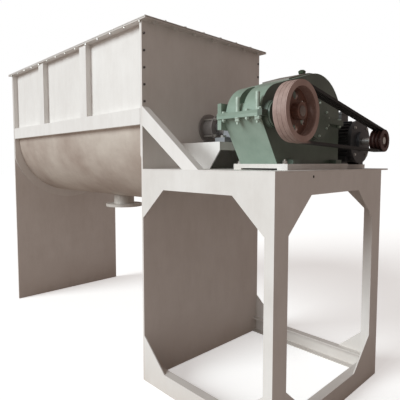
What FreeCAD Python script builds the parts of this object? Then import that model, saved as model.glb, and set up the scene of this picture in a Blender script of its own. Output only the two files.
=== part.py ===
"""Horizontal ribbon blender: a U-shaped trough between two full-height end plates, a double ribbon
agitator, and a drive stand with a two-stage parallel-shaft reducer, a V-belt and a foot motor.

Millimetres, +Z up.  The pieces are laid out from the machine's own datum: x = 0 is the outer face of
the drive end plate with +X towards the drive, y = 0 is the agitator's axis plane, z = 0 is the floor.
save() moves every piece by one constant shift, so that the files have their origin on the floor at
the middle of the whole outline.
"""
import FreeCAD, Part
import math
import os

V = FreeCAD.Vector
os.makedirs("parts", exist_ok=True)

# ---- driving dimensions: trough and hopper --------------------------------------------------------
LENGTH = 1916.0          # between the outer faces of the two end plates
HALF_WIDTH = 508.0       # end plates, half of their width
PLATE = 12.0             # end plate thickness
SHEET = 6.0              # trough, walls, rim and gussets
SHAFT_Z = 1440.0         # height of the agitator's axis
TROUGH_R = 464.0         # inside of the trough
RIM_Z = 1990.0           # top of the rim flange
RIM_OVERHANG = 50.0      # of the rim beyond the end plates
RIM_SIDE = 520.0         # half width of the rim
END_FLANGE_R = 535.0     # outside of the trough's end flanges
END_FLANGE = 10.0        # their thickness
BAND_LOW, BAND_HIGH = 1437.0, 1525.0    # channel along the foot of each wall
RIB_X = (-648.0, -1306.0)               # stiffening ribs on each wall
RIB_WIDTH = 84.0
TROUGH_OUT = TROUGH_R + SHEET
TAIL_X = -LENGTH
MIDDLE_X = -LENGTH / 2

# ---- covers ---------------------------------------------------------------------------------------
GASKET = 3.0
COVER = 4.0
COVER_SPLIT_X = -640.0   # the bolted cover ends and the hinged lid starts
COVER_Z = RIM_Z + GASKET
COVER_TOP = COVER_Z + COVER
HINGE_Y = 532.0
HINGE_Z = COVER_TOP + 6.0
HINGE_X = (-840.0, -1305.0, -1770.0)
KNUCKLE_R = 10.0
HINGE_PIN_R = 5.0

# ---- outlet ---------------------------------------------------------------------------------------
SPOUT_R, SPOUT_BORE = 79.5, 75.0
OUTLET_Z = 882.0
OUTLET_FLANGE_R, OUTLET_FLANGE = 142.5, 22.0
OUTLET_PCD, OUTLET_HOLES, OUTLET_HOLE_R = 240.0, 8, 11.0

# ---- drive stand ----------------------------------------------------------------------------------
STAND_X = 869.0          # outer face of the stand
STAND_Z = 1195.0         # top of the stand's deck plate
DECK = 8.0
DECK_REAR = 600.0        # the deck reaches out under the motor
CHANNEL_H, CHANNEL_B, CHANNEL_T = 100.0, 48.0, 6.0
GUSSET_RUN, GUSSET_DROP = 175.0, 160.0

# ---- shaft, seals, bearings -----------------------------------------------------------------------
JOURNAL_R = 45.0
TUBE_R = 60.0
RUN_FIT = 0.05           # radial clearance of every running fit
DRIVE_BEARING_X = 250.0
TAIL_BEARING_X = TAIL_X - 150.0
SHELF_DEPTH, TAIL_SHELF_DEPTH = 324.0, 262.0
SHELF_HALF = 242.0
SHELF_Z = 1340.0

# ---- ribbons --------------------------------------------------------------------------------------
OUTER_R, OUTER_W = 455.0, 58.0
INNER_R, INNER_W = 245.0, 46.0
RIBBON_T = 8.0
RIBBON_END_GAP = 14.0
OUTER_PITCH = 932.0      # one turn in each half of the trough
INNER_TURNS = 1.5        # the other way round
ARM_R = 15.0
ARMS_PER_HALF = 5

# ---- reducer --------------------------------------------------------------------------------------
BOX_X = 625.0            # middle plane of the reducer
BASE_Z = 1223.0          # underside of its feet
BOX_HALF = 107.0         # sump, half of the outside width
BOX_WALL = 10.0
FLANGE_HALF = 130.0
FLANGE_NEAR, FLANGE_FAR = -446.0, 272.0
FLANGE_T = 13.0          # each half of the flange at the split
LAY_Y, INPUT_Y = -230.0, -350.0      # intermediate and input shafts
LOW_MODULE, LOW_PINION, LOW_GEAR = 5.0, 18, 74
HIGH_MODULE, HIGH_PINION, HIGH_GEAR = 4.0, 14, 46
HOOD_X = (531.0, 732.0)              # upper casing
HOOD_NOSE = (-280.0, 1440.0, 142.0)  # y, z and radius of its near end
HOOD_TOP = (45.0, 1420.5, 251.0)     # and of its round top
RECESS_X = (592.0, 631.0)            # hollow in the casing's near end, above the input shaft
RECESS_Y, RECESS_Z = -290.0, 1492.0
LOW_GEAR_X = (600.0, 690.0)
HIGH_GEAR_X = (544.0, 579.0)

# ---- belt drive and motor -------------------------------------------------------------------------
PULLEY_X = (830.0, 893.0)
PULLEY_R = 126.5
GROOVES = 3
GROOVE_PITCH = 19.0
MOTOR_Y, MOTOR_Z = 486.0, 1350.0
MOTOR_PULLEY_R = 61.0
MOTOR_FEET_Z = 1218.0
MOTOR_X = (440.0, 760.0)   # between the fan cowl's end and the drive end shield's face
MOTOR_R = 118.0
FIN_H = 14.0


# ---- small helpers --------------------------------------------------------------------------------
def box(x0, x1, y0, y1, z0, z1):
    return Part.makeBox(x1 - x0, y1 - y0, z1 - z0, V(x0, y0, z0))


def rod_x(radius, x0, x1, y, z):
    return Part.makeCylinder(radius, x1 - x0, V(x0, y, z), V(1, 0, 0))


def ring_x(outer, inner, x0, x1, y, z):
    return rod_x(outer, x0, x1, y, z).cut(rod_x(inner, x0 - 1, x1 + 1, y, z))


def rod_z(radius, x, y, z0, z1):
    return Part.makeCylinder(radius, z1 - z0, V(x, y, z0), V(0, 0, 1))


def hex_x(across, x0, x1, y, z):
    """Hexagon bar along X, given its size across the flats."""
    r = across / math.sqrt(3)
    pts = [(y + r * math.cos(a), z + r * math.sin(a)) for a in (math.radians(60 * k) for k in range(6))]
    return plate_yz(pts, x0, x1)


def hex_z(across, x, y, z0, z1):
    """Hexagon bar along Z, given its size across the flats."""
    r = across / math.sqrt(3)
    pts = [(x + r * math.cos(a), y + r * math.sin(a)) for a in (math.radians(60 * k) for k in range(6))]
    return plate_xy(pts, z0, z1)


def polygon_face(points):
    return Part.Face(Part.makePolygon(points + [points[0]]))


def plate_yz(points, x0, x1):
    return polygon_face([V(x0, y, z) for y, z in points]).extrude(V(x1 - x0, 0, 0))


def plate_xz(points, y0, y1):
    return polygon_face([V(x, y0, z) for x, z in points]).extrude(V(0, y1 - y0, 0))


def plate_xy(points, z0, z1):
    return polygon_face([V(x, y, z0) for x, y in points]).extrude(V(0, 0, z1 - z0))


def mirror_y(shape):
    """The same piece on the other side of the agitator's axis plane."""
    return shape.mirror(V(0, 0, 0), V(0, 1, 0))


def both_sides(shapes):
    return list(shapes) + [mirror_y(s) for s in shapes]


def fuse(shapes):
    return shapes[0].multiFuse(shapes[1:]).removeSplitter()


def save(name, shapes):
    """Write one node: its solids, moved from the machine's datum to the file's origin."""
    shapes = shapes if isinstance(shapes, (list, tuple)) else [shapes]
    solids = [s for shape in shapes for s in shape.Solids]
    for solid in solids:
        assert solid.isValid() and solid.Volume > 0, name
    group = Part.makeCompound(solids)
    group.translate(ORIGIN_SHIFT)
    group.exportStep("parts/%s.step" % name)
    OUTLINE.add(group.BoundBox)


# Half-way points of the outline; the file's origin is on the floor there.
OUTLINE_X = (-2178.0, 893.0)
OUTLINE_Y = (-520.0, 640.0)
ORIGIN_SHIFT = V(-sum(OUTLINE_X) / 2, -sum(OUTLINE_Y) / 2, 0)
OUTLINE = FreeCAD.BoundBox()


# ---- trough, walls and end plates -----------------------------------------------------------------
INNER_X = (TAIL_X + PLATE, -PLATE)       # between the end plates
WALL_TOP = RIM_Z - SHEET
SEAL_BORE = 58.0


def below_axis(shape):
    """The part of a round shape under the agitator's axis plane."""
    return shape.common(box(TAIL_X - 50, 50, -700, 700, 0, SHAFT_Z))


def end_plate(x0):
    plate = box(x0, x0 + PLATE, -HALF_WIDTH, HALF_WIDTH, 0, WALL_TOP)
    return plate.cut(rod_x(SEAL_BORE, x0 - 1, x0 + PLATE + 1, 0, SHAFT_Z))


def trough_bottom():
    half = below_axis(ring_x(TROUGH_OUT, TROUGH_R, INNER_X[0], INNER_X[1], 0, SHAFT_Z))
    return half.cut(rod_z(SPOUT_BORE + 1, MIDDLE_X, 0, 900, SHAFT_Z))


def front_wall():
    return box(INNER_X[0], INNER_X[1], -TROUGH_OUT, -TROUGH_R, SHAFT_Z, WALL_TOP)


def end_flange(x0):
    """Flat U-shaped flange round one end of the trough, trimmed to the end plate's width."""
    x1, edge = x0 + END_FLANGE, HALF_WIDTH - 2
    outer = below_axis(rod_x(END_FLANGE_R, x0, x1, 0, SHAFT_Z)).common(
        box(x0, x1, -edge, edge, 0, SHAFT_Z))
    upper = box(x0, x1, -edge, edge, SHAFT_Z, WALL_TOP)
    mouth = box(x0, x1, -TROUGH_OUT, TROUGH_OUT, SHAFT_Z, WALL_TOP)
    return fuse([outer, upper]).cut(mouth).cut(rod_x(TROUGH_OUT, x0, x1, 0, SHAFT_Z))


def side_band():
    """Channel along the foot of one wall, open towards the wall."""
    y0, y1, t = -HALF_WIDTH, -TROUGH_OUT, 5.0
    pts = [(y0, BAND_LOW), (y1, BAND_LOW), (y1, BAND_LOW + t), (y0 + t, BAND_LOW + t),
           (y0 + t, BAND_HIGH - t), (y1, BAND_HIGH - t), (y1, BAND_HIGH), (y0, BAND_HIGH)]
    return plate_yz(pts, INNER_X[0] + END_FLANGE, INNER_X[1] - END_FLANGE)


def wall_rib(x):
    """Folded channel from the band up to the rim."""
    y0, y1, t, h = -HALF_WIDTH, -TROUGH_OUT, 4.0, RIB_WIDTH / 2
    pts = [(x - h, y0), (x + h, y0), (x + h, y1), (x + h - t, y1), (x + h - t, y0 + t),
           (x - h + t, y0 + t), (x - h + t, y1), (x - h, y1)]
    return plate_xy(pts, BAND_HIGH, WALL_TOP)


def frame_plate(outer, inner, z0, z1):
    """Flat ring between two rectangles, each given as x0, x1, half width."""
    hole = box(inner[0], inner[1], -inner[2], inner[2], z0 - 1, z1 + 1)
    return box(outer[0], outer[1], -outer[2], outer[2], z0, z1).cut(hole)


RIM_X = (TAIL_X - RIM_OVERHANG, RIM_OVERHANG)
CROSS_BAR_HALF = 25.0


def cross_bar():
    """T bar across the opening, under the joint between the bolted cover and the lid."""
    x, y = COVER_SPLIT_X, TROUGH_R
    return fuse([box(x - CROSS_BAR_HALF, x + CROSS_BAR_HALF, -y, y, WALL_TOP, RIM_Z),
                 box(x - 3, x + 3, -y, y, WALL_TOP - 40, WALL_TOP)])


save("drive_end_plate", end_plate(-PLATE))
save("tail_end_plate", end_plate(TAIL_X))
save("trough_bottom", trough_bottom())
save("side_walls", both_sides([front_wall()]))
save("trough_end_flanges", [end_flange(INNER_X[0]), end_flange(INNER_X[1] - END_FLANGE)])
save("side_bands", both_sides([side_band()]))
save("wall_ribs", both_sides([wall_rib(x) for x in RIB_X]))
save("rim_flange", [frame_plate((*RIM_X, RIM_SIDE), (*INNER_X, TROUGH_R), WALL_TOP, RIM_Z),
                    cross_bar()])


# ---- covers, lid and hinges -----------------------------------------------------------------------
GASKET_SIDE = 500.0
LID_GAP = 0.3            # the lid's underside clears its seal by this at rest
KNUCKLE_GAP = 0.4
HINGE_HALF = 45.0
KNUCKLE_HALF = 15.0
STIFFENER = 30.0


def stiffener(x):
    """Angle bar across the top of a cover, set back from the front edge."""
    t = 4.0
    pts = [(x, COVER_TOP), (x + STIFFENER, COVER_TOP), (x + STIFFENER, COVER_TOP + t),
           (x + t, COVER_TOP + t), (x + t, COVER_TOP + STIFFENER), (x, COVER_TOP + STIFFENER)]
    return plate_xz(pts, -390, 430)


def lid_plate():
    plate = box(RIM_X[0], COVER_SPLIT_X - 1, -RIM_SIDE, RIM_SIDE - 2, COVER_Z, COVER_TOP)
    return fuse([plate] + [stiffener(x) for x in (-1900.0, -1540.0, -1070.0, -700.0)])


def fixed_cover():
    plate = box(COVER_SPLIT_X + 1, RIM_X[1], -RIM_SIDE, RIM_SIDE, COVER_Z, COVER_TOP)
    return fuse([plate] + [stiffener(x) for x in (-600.0, -300.0)])


def lid_handle(x):
    """Round bar bent into a low bow, with its two feet on the lid."""
    r, half, y, top = 6.0, 80.0, -340.0, COVER_TOP + 38
    a, b, k = x - half, x + half, 5.86
    path = Part.Wire([
        Part.makeLine(V(a, y, COVER_TOP), V(a, y, top - 20)),
        Part.Arc(V(a, y, top - 20), V(a + k, y, top - k), V(a + 20, y, top)).toShape(),
        Part.makeLine(V(a + 20, y, top), V(b - 20, y, top)),
        Part.Arc(V(b - 20, y, top), V(b - k, y, top - k), V(b, y, top - 20)).toShape(),
        Part.makeLine(V(b, y, top - 20), V(b, y, COVER_TOP))])
    circle = Part.Wire(Part.makeCircle(r, V(x - half, y, COVER_TOP), V(0, 0, 1)))
    return path.makePipeShell([circle], True, False)


def knuckle(x0, x1, bore):
    return ring_x(KNUCKLE_R, bore, x0, x1, HINGE_Y, HINGE_Z)


def fixed_leaf(x):
    """Upright leaf welded to the rim's edge, with the middle knuckle."""
    x0, x1 = x - KNUCKLE_HALF, x + KNUCKLE_HALF
    leaf = box(x0, x1, RIM_SIDE, RIM_SIDE + 6, RIM_Z - 40, HINGE_Z)
    neck = box(x0, x1, RIM_SIDE + 6, HINGE_Y, HINGE_Z - 8, HINGE_Z)
    leaf = fuse([leaf, neck, rod_x(KNUCKLE_R, x0, x1, HINGE_Y, HINGE_Z)])
    return leaf.cut(rod_x(HINGE_PIN_R, x0 - 1, x1 + 1, HINGE_Y, HINGE_Z))


def lid_leaf(x):
    """Flat leaf on the lid, with the two outer knuckles."""
    leaf = [box(x - HINGE_HALF, x + HINGE_HALF, 440, RIM_SIDE - 4, COVER_TOP, COVER_TOP + 6)]
    for x0, x1 in ((x - HINGE_HALF, x - KNUCKLE_HALF - KNUCKLE_GAP),
                   (x + KNUCKLE_HALF + KNUCKLE_GAP, x + HINGE_HALF)):
        leaf += [box(x0, x1, RIM_SIDE - 4, HINGE_Y, COVER_TOP, COVER_TOP + 6),
                 rod_x(KNUCKLE_R, x0, x1, HINGE_Y, HINGE_Z)]
    bore = rod_x(HINGE_PIN_R + RUN_FIT, x - HINGE_HALF - 1, x + HINGE_HALF + 1, HINGE_Y, HINGE_Z)
    return fuse(leaf).cut(bore)


def hinge_pin(x):
    """Pin with a head at each end, clear of the outer knuckles."""
    half = HINGE_HALF + KNUCKLE_GAP
    return fuse([rod_x(HINGE_PIN_R, x - half, x + half, HINGE_Y, HINGE_Z),
                 rod_x(8, x - half - 4, x - half, HINGE_Y, HINGE_Z),
                 rod_x(8, x + half, x + half + 4, HINGE_Y, HINGE_Z)])


save("fixed_cover", fixed_cover())
save("rim_gaskets", [
    frame_plate((COVER_SPLIT_X + 2, 20, GASKET_SIDE),
                (COVER_SPLIT_X + CROSS_BAR_HALF, -PLATE, TROUGH_R), RIM_Z, COVER_Z),
    frame_plate((TAIL_X - 20, COVER_SPLIT_X - 2, GASKET_SIDE),
                (TAIL_X + PLATE, COVER_SPLIT_X - CROSS_BAR_HALF, TROUGH_R), RIM_Z, COVER_Z - LID_GAP)])
save("lid_panel", lid_plate())
save("lid_handles", [lid_handle(x) for x in (-1690.0, -885.0)])
save("hinge_fixed_leaves", [fixed_leaf(x) for x in HINGE_X])
save("hinge_lid_leaves", [lid_leaf(x) for x in HINGE_X])
save("hinge_pins", [hinge_pin(x) for x in HINGE_X])


# ---- outlet ---------------------------------------------------------------------------------------
def outlet_spout():
    """Short pipe, cut to the outside of the trough at its top."""
    pipe = rod_z(SPOUT_R, MIDDLE_X, 0, OUTLET_Z, SHAFT_Z).cut(
        rod_z(SPOUT_BORE, MIDDLE_X, 0, OUTLET_Z - 1, SHAFT_Z + 1))
    return pipe.cut(rod_x(TROUGH_OUT, MIDDLE_X - 200, MIDDLE_X + 200, 0, SHAFT_Z))


def outlet_flange():
    disc = rod_z(OUTLET_FLANGE_R, MIDDLE_X, 0, OUTLET_Z, OUTLET_Z + OUTLET_FLANGE)
    disc = disc.cut(rod_z(SPOUT_R, MIDDLE_X, 0, OUTLET_Z - 1, OUTLET_Z + OUTLET_FLANGE + 1))
    for k in range(OUTLET_HOLES):
        a = math.radians(360.0 * (k + 0.5) / OUTLET_HOLES)
        x, y = MIDDLE_X + OUTLET_PCD / 2 * math.cos(a), OUTLET_PCD / 2 * math.sin(a)
        disc = disc.cut(rod_z(OUTLET_HOLE_R, x, y, OUTLET_Z - 1, OUTLET_Z + OUTLET_FLANGE + 1))
    return disc


save("outlet_spout", outlet_spout())
save("outlet_flange", outlet_flange())


# ---- drive stand ----------------------------------------------------------------------------------
POST_IN = STAND_X - CHANNEL_B            # inner side of the two corner posts
POST_Y = HALF_WIDTH - CHANNEL_H
DECK_UNDER = STAND_Z - DECK
BEAM_LOW = DECK_UNDER - CHANNEL_H


def channel_points(web, tip, low, t=CHANNEL_T):
    """C section between its web's outer face and its flange tips, CHANNEL_H high."""
    s = 1 if tip > web else -1
    high = low + CHANNEL_H
    return [(web, low), (tip, low), (tip, low + t), (web + s * t, low + t),
            (web + s * t, high - t), (tip, high - t), (tip, high), (web, high)]


def stand_ring(low):
    """Three channels, toes inwards: front, rear and end."""
    front = plate_yz(channel_points(-HALF_WIDTH, -HALF_WIDTH + CHANNEL_B, low), 0, POST_IN)
    end = plate_xz(channel_points(STAND_X, STAND_X - CHANNEL_B, low), -POST_Y, POST_Y)
    return [front, mirror_y(front), end]


def corner_post():
    """Upright channel with its web on the end face."""
    y0, y1, t = -HALF_WIDTH, -POST_Y, CHANNEL_T
    pts = [(STAND_X, y0), (STAND_X, y1), (POST_IN, y1), (POST_IN, y1 - t), (STAND_X - t, y1 - t),
           (STAND_X - t, y0 + t), (POST_IN, y0 + t), (POST_IN, y0)]
    return plate_xy(pts, 0, DECK_UNDER)


def corner(u, v, su, sv):
    """Right triangle whose square corner is at u, v and whose legs run by the signs su, sv."""
    return [(u, v), (u + su * GUSSET_RUN, v), (u, v + sv * GUSSET_DROP)]


def stand_gussets():
    side = [plate_xz(corner(u, v, su, sv), -HALF_WIDTH, -HALF_WIDTH + SHEET)
            for u, su in ((0, 1), (POST_IN, -1)) for v, sv in ((BEAM_LOW, -1), (CHANNEL_H, 1))]
    end = [plate_yz(corner(-POST_Y, v, 1, sv), STAND_X - SHEET, STAND_X)
           for v, sv in ((BEAM_LOW, -1), (CHANNEL_H, 1))]
    return both_sides(side + end)


def diagonal_brace():
    """Angle bar from the end plate's edge down to the deck, its upper flange turned inwards."""
    high, low, foot_near, foot_far = 1533.0, 1429.0, 322.0, 435.0
    drop = SHEET * 1.27
    web = plate_xz([(0, low), (foot_near, STAND_Z), (foot_far, STAND_Z), (0, high)],
                   -HALF_WIDTH, -HALF_WIDTH + SHEET)
    flange = plate_xz([(0, high - drop), (foot_far - SHEET * 1.63, STAND_Z), (foot_far, STAND_Z),
                       (0, high)], -HALF_WIDTH, -HALF_WIDTH + 42)
    return fuse([web, flange])


save("stand_beams", stand_ring(BEAM_LOW) + stand_ring(0))
save("stand_posts", both_sides([corner_post()]))
save("stand_gussets", stand_gussets())
save("stand_deck", box(0, STAND_X, -HALF_WIDTH, DECK_REAR, DECK_UNDER, STAND_Z))
save("diagonal_braces", both_sides([diagonal_brace()]))


# ---- bearing shelves, pillow blocks and shaft seals -----------------------------------------------
BLOCK_HALF = 163.0
BLOCK_BOLT_Y = 131.0
BLOCK_BOLT_R = 10.0
BLOCK_BORE = 80.0
RACE_SPLIT = 62.0
SHELF_T = 12.0


def shelf(x0, x1, bolts_x):
    plate = box(x0, x1, -SHELF_HALF, SHELF_HALF, SHELF_Z - SHELF_T, SHELF_Z)
    for y in (-BLOCK_BOLT_Y, BLOCK_BOLT_Y):
        plate = plate.cut(rod_z(BLOCK_BOLT_R + 1, bolts_x, y, SHELF_Z - SHELF_T - 1, SHELF_Z + 1))
    return plate


def drive_bracket():
    under = SHELF_Z - SHELF_T
    cheek = plate_xz([(0, STAND_Z), (247, STAND_Z), (SHELF_DEPTH, under - 32), (SHELF_DEPTH, under),
                      (0, under)], -SHELF_HALF, -SHELF_HALF + 8)
    nose = box(SHELF_DEPTH - 8, SHELF_DEPTH, -SHELF_HALF, SHELF_HALF, under - 32, under)
    return fuse([shelf(0, SHELF_DEPTH, DRIVE_BEARING_X), cheek, mirror_y(cheek), nose])


def tail_bracket():
    under, tip = SHELF_Z - SHELF_T, TAIL_X - TAIL_SHELF_DEPTH
    cheek = plate_xz([(TAIL_X, under), (tip, under), (tip, under - 32), (TAIL_X, under - 260)],
                     -SHELF_HALF, -SHELF_HALF + 8)
    nose = box(tip, tip + 8, -SHELF_HALF, SHELF_HALF, under - 32, under)
    return fuse([shelf(tip, TAIL_X, TAIL_BEARING_X), cheek, mirror_y(cheek), nose])


def pillow_block(x):
    """Cast foot with raised shoulders, and a round housing bored for the insert."""
    z, shoulder = SHELF_Z, 92.0
    foot = plate_yz([(-BLOCK_HALF, z), (BLOCK_HALF, z), (BLOCK_HALF, z + 28), (shoulder + 14, z + 28),
                     (shoulder, z + 58), (shoulder, SHAFT_Z), (-shoulder, SHAFT_Z),
                     (-shoulder, z + 58), (-shoulder - 14, z + 28), (-BLOCK_HALF, z + 28)],
                    x - 36, x + 36)
    block = fuse([foot, rod_x(shoulder, x - 36, x + 36, 0, SHAFT_Z)])
    block = block.cut(rod_x(BLOCK_BORE, x - 40, x + 40, 0, SHAFT_Z))
    for y in (-BLOCK_BOLT_Y, BLOCK_BOLT_Y):
        block = block.cut(rod_z(BLOCK_BOLT_R + 1, x, y, z - 1, z + 60))
    return block


def block_bolts(x):
    """Two hexagon bolts through the foot and the shelf, each with its nut below."""
    out = []
    for y in (-BLOCK_BOLT_Y, BLOCK_BOLT_Y):
        shank = rod_z(BLOCK_BOLT_R, x, y, SHELF_Z - SHELF_T - 22, SHELF_Z + 28)
        out.append(fuse([shank, hex_z(30, x, y, SHELF_Z + 28, SHELF_Z + 41),
                         hex_z(30, x, y, SHELF_Z - SHELF_T - 18, SHELF_Z - SHELF_T)]))
    return out


def at_both_ends(shapes):
    """The same pieces at the tail end, facing the other way."""
    return list(shapes) + [s.mirror(V(MIDDLE_X, 0, 0), V(1, 0, 0)) for s in shapes]


GLAND_STUD_R, GLAND_STUDS_AT = 5.0, 68.5
GLAND_STUDS = [(GLAND_STUDS_AT * math.cos(a), SHAFT_Z + GLAND_STUDS_AT * math.sin(a))
               for a in (math.radians(45 + 90 * k) for k in range(4))]


def seal_housing():
    return fuse([rod_x(88, 0, 12, 0, SHAFT_Z), rod_x(62, 12, 80, 0, SHAFT_Z)]).cut(
        rod_x(SEAL_BORE, -1, 81, 0, SHAFT_Z))


def seal_gland():
    gland = fuse([rod_x(76, 88, 100, 0, SHAFT_Z), rod_x(SEAL_BORE - 0.3, 66, 88, 0, SHAFT_Z)])
    gland = gland.cut(rod_x(JOURNAL_R + 0.5, 60, 101, 0, SHAFT_Z))
    for y, z in GLAND_STUDS:
        gland = gland.cut(rod_x(GLAND_STUD_R + 0.5, 87, 101, y, z))
    return gland


def gland_stud(y, z):
    return fuse([rod_x(GLAND_STUD_R, 12, 114, y, z), hex_x(17, 100, 109, y, z)])


save("bearing_brackets", [drive_bracket(), tail_bracket()])
save("pillow_blocks", [pillow_block(DRIVE_BEARING_X), pillow_block(TAIL_BEARING_X)])
save("pillow_block_bolts", block_bolts(DRIVE_BEARING_X) + block_bolts(TAIL_BEARING_X))
save("bearing_outer_rings", [ring_x(BLOCK_BORE, RACE_SPLIT + RUN_FIT, x - 24, x + 24, 0, SHAFT_Z)
                             for x in (DRIVE_BEARING_X, TAIL_BEARING_X)])
save("bearing_inner_rings", [ring_x(RACE_SPLIT, JOURNAL_R, x - 31, x + 31, 0, SHAFT_Z)
                             for x in (DRIVE_BEARING_X, TAIL_BEARING_X)])
save("seal_housings", at_both_ends([seal_housing()]))
save("seal_packings", at_both_ends([ring_x(SEAL_BORE, JOURNAL_R + RUN_FIT, 12, 66, 0, SHAFT_Z)]))
save("seal_glands", at_both_ends([seal_gland()]))
save("gland_studs", at_both_ends([gland_stud(y, z) for y, z in GLAND_STUDS]))


# ---- agitator -------------------------------------------------------------------------------------
SHAFT_TAIL_X, SHAFT_END_X = TAIL_BEARING_X - 62.0, 405.0
HALF_TROUGH = LENGTH / 2 - PLATE
RIBBON_FROM, RIBBON_TO = 35.0, HALF_TROUGH - RIBBON_END_GAP - OUTER_W / 2
INNER_PITCH = OUTER_PITCH / INNER_TURNS
# Ribbon and counter-ribbon cross every CROSSING along the axis, and each crossing has an arm.
CROSSING = 0.5 / (1 / OUTER_PITCH + 1 / INNER_PITCH)
ARM_AT = [CROSSING * (k + 0.5) for k in range(ARMS_PER_HALF)]


def outer_angle(s):
    """Angle of the first outer ribbon at distance s from the middle of the trough."""
    return 360.0 * s / OUTER_PITCH


def inner_angle(s):
    return outer_angle(ARM_AT[0]) - 360.0 * (s - ARM_AT[0]) / INNER_PITCH


def helical_band(radius, width, pitch, start, left):
    """Flat bar on edge along a helix in the drive half, from RIBBON_FROM to RIBBON_TO."""
    path = Part.Wire(Part.makeHelix(pitch, RIBBON_TO - RIBBON_FROM, radius, 0, left).Edges)
    r0, r1, h = radius - RIBBON_T, radius, width / 2
    section = Part.makePolygon([V(r0, 0, -h), V(r1, 0, -h), V(r1, 0, h), V(r0, 0, h), V(r0, 0, -h)])
    band = path.makePipeShell([section], True, True)
    band.rotate(V(0, 0, 0), V(0, 0, 1), start)
    band.rotate(V(0, 0, 0), V(1, 1, 1), 120)
    band.translate(V(MIDDLE_X + RIBBON_FROM, 0, SHAFT_Z))
    return band


def ribbon_pair(radius, width, pitch, start, left):
    """Two starts in the drive half, and their mirror images in the tail half."""
    return at_both_ends([helical_band(radius, width, pitch, start + turn, left) for turn in (0, 180)])


def arm(s, turn):
    """Radial bar from inside the shaft's tube into the outer ribbon."""
    a = math.radians(outer_angle(s) + turn)
    u = V(0, math.cos(a), math.sin(a))
    foot = V(MIDDLE_X + s, 0, SHAFT_Z) + u * (TUBE_R - 3)
    return Part.makeCylinder(ARM_R, OUTER_R - RIBBON_T + 2 - (TUBE_R - 3), foot, u)


def main_shaft():
    ends = RIBBON_END_GAP
    return fuse([rod_x(JOURNAL_R, SHAFT_TAIL_X, SHAFT_END_X, 0, SHAFT_Z),
                 rod_x(TUBE_R, INNER_X[0] + ends, INNER_X[1] - ends, 0, SHAFT_Z)])


save("main_shaft", main_shaft())
save("ribbon_arms", at_both_ends([arm(s, turn) for s in ARM_AT for turn in (0, 180)]))
save("outer_ribbons", ribbon_pair(OUTER_R, OUTER_W, OUTER_PITCH, outer_angle(RIBBON_FROM), False))
save("inner_ribbons", ribbon_pair(INNER_R, INNER_W, INNER_PITCH, inner_angle(RIBBON_FROM), True))


# ---- flexible coupling between agitator and reducer -----------------------------------------------
COUPLING_X = (349.0, 390.0, 408.0)       # hub, flange and face of the agitator's half
COUPLING_GAP = 3.0
COUPLING_R, COUPLING_HUB_R = 90.0, 64.0
COUPLING_PIN_R, COUPLING_PCD_R = 7.0, 77.0
OUTPUT_SHAFT_X = 416.0


def coupling_half():
    hub, back, face = COUPLING_X
    half = fuse([rod_x(COUPLING_HUB_R, hub, back, 0, SHAFT_Z), rod_x(COUPLING_R, back, face, 0, SHAFT_Z)])
    half = half.cut(rod_x(JOURNAL_R, hub - 1, face + 1, 0, SHAFT_Z))
    for y, z in COUPLING_PINS:
        half = half.cut(rod_x(COUPLING_PIN_R, back - 1, face + 1, y, z))
    return half


def coupling_pin(y, z):
    back, face = COUPLING_X[1:]
    far = face + COUPLING_GAP + face - back
    return fuse([rod_x(COUPLING_PIN_R, back, far, y, z), rod_x(11, back - 6, back, y, z),
                 rod_x(11, far, far + 8, y, z)])


COUPLING_PINS = [(COUPLING_PCD_R * math.cos(a), SHAFT_Z + COUPLING_PCD_R * math.sin(a))
                 for a in (math.radians(60 * k) for k in range(6))]
COUPLING_MIDDLE = COUPLING_X[2] + COUPLING_GAP / 2
save("coupling_hubs", [coupling_half(), coupling_half().mirror(V(COUPLING_MIDDLE, 0, 0), V(1, 0, 0))])
save("coupling_pins", [coupling_pin(y, z) for y, z in COUPLING_PINS])


# ---- reducer --------------------------------------------------------------------------------------
COVER_WALL = 8.0
BOX_FAR = 262.0
BOX_NEAR_TOP, BOX_NEAR_FOOT = -425.0, -300.0
BOSS_X = (BOX_X - FLANGE_HALF, BOX_X + FLANGE_HALF)
CAP_T = 10.0
# Per shaft: its y, and the radii of boss, cap, bearing and journal.
SHAFTS = {"output": (0.0, 100.0, 95.0, 75.0, 45.0),
          "lay": (LAY_Y, 65.0, 60.0, 45.0, 25.0),
          "input": (INPUT_Y, 60.0, 57.0, 40.0, 22.0)}
BEARING_X = ((BOSS_X[0] + 4, BOSS_X[0] + 32), (BOSS_X[1] - 32, BOSS_X[1] - 4))


def above_split(shape):
    return shape.common(box(BOX_X - 300, BOX_X + 300, -600, 400, SHAFT_Z, SHAFT_Z + 400))


def below_split(shape):
    return shape.common(box(BOX_X - 300, BOX_X + 300, -600, 400, SHAFT_Z - 400, SHAFT_Z))


def bosses():
    return [rod_x(boss, BOSS_X[0], BOSS_X[1], y, SHAFT_Z) for y, boss, *_ in SHAFTS.values()]


def bearing_bores():
    return fuse([rod_x(seat, BOSS_X[0] - 1, BOSS_X[1] + 1, y, SHAFT_Z)
                 for y, _, _, seat, _ in SHAFTS.values()])


def side_profile(inset, z_top):
    """Outline of the sump seen along X, moved inwards by inset."""
    foot = BASE_Z + inset
    return [(BOX_NEAR_TOP + inset * 1.2, z_top), (BOX_NEAR_TOP + inset * 1.2, SHAFT_Z - FLANGE_T),
            (BOX_NEAR_FOOT + inset * 0.6, foot), (BOX_FAR - inset, foot), (BOX_FAR - inset, z_top)]


def split_flange(z0, z1):
    return box(BOX_X - FLANGE_HALF, BOX_X + FLANGE_HALF, FLANGE_NEAR, FLANGE_FAR, z0, z1)


def input_block():
    """Square shoulder round the input shaft's boss on the trough side."""
    return box(BOSS_X[0], BOX_X - BOX_HALF, -440, -290, SHAFT_Z - 60, SHAFT_Z + 60)


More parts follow.
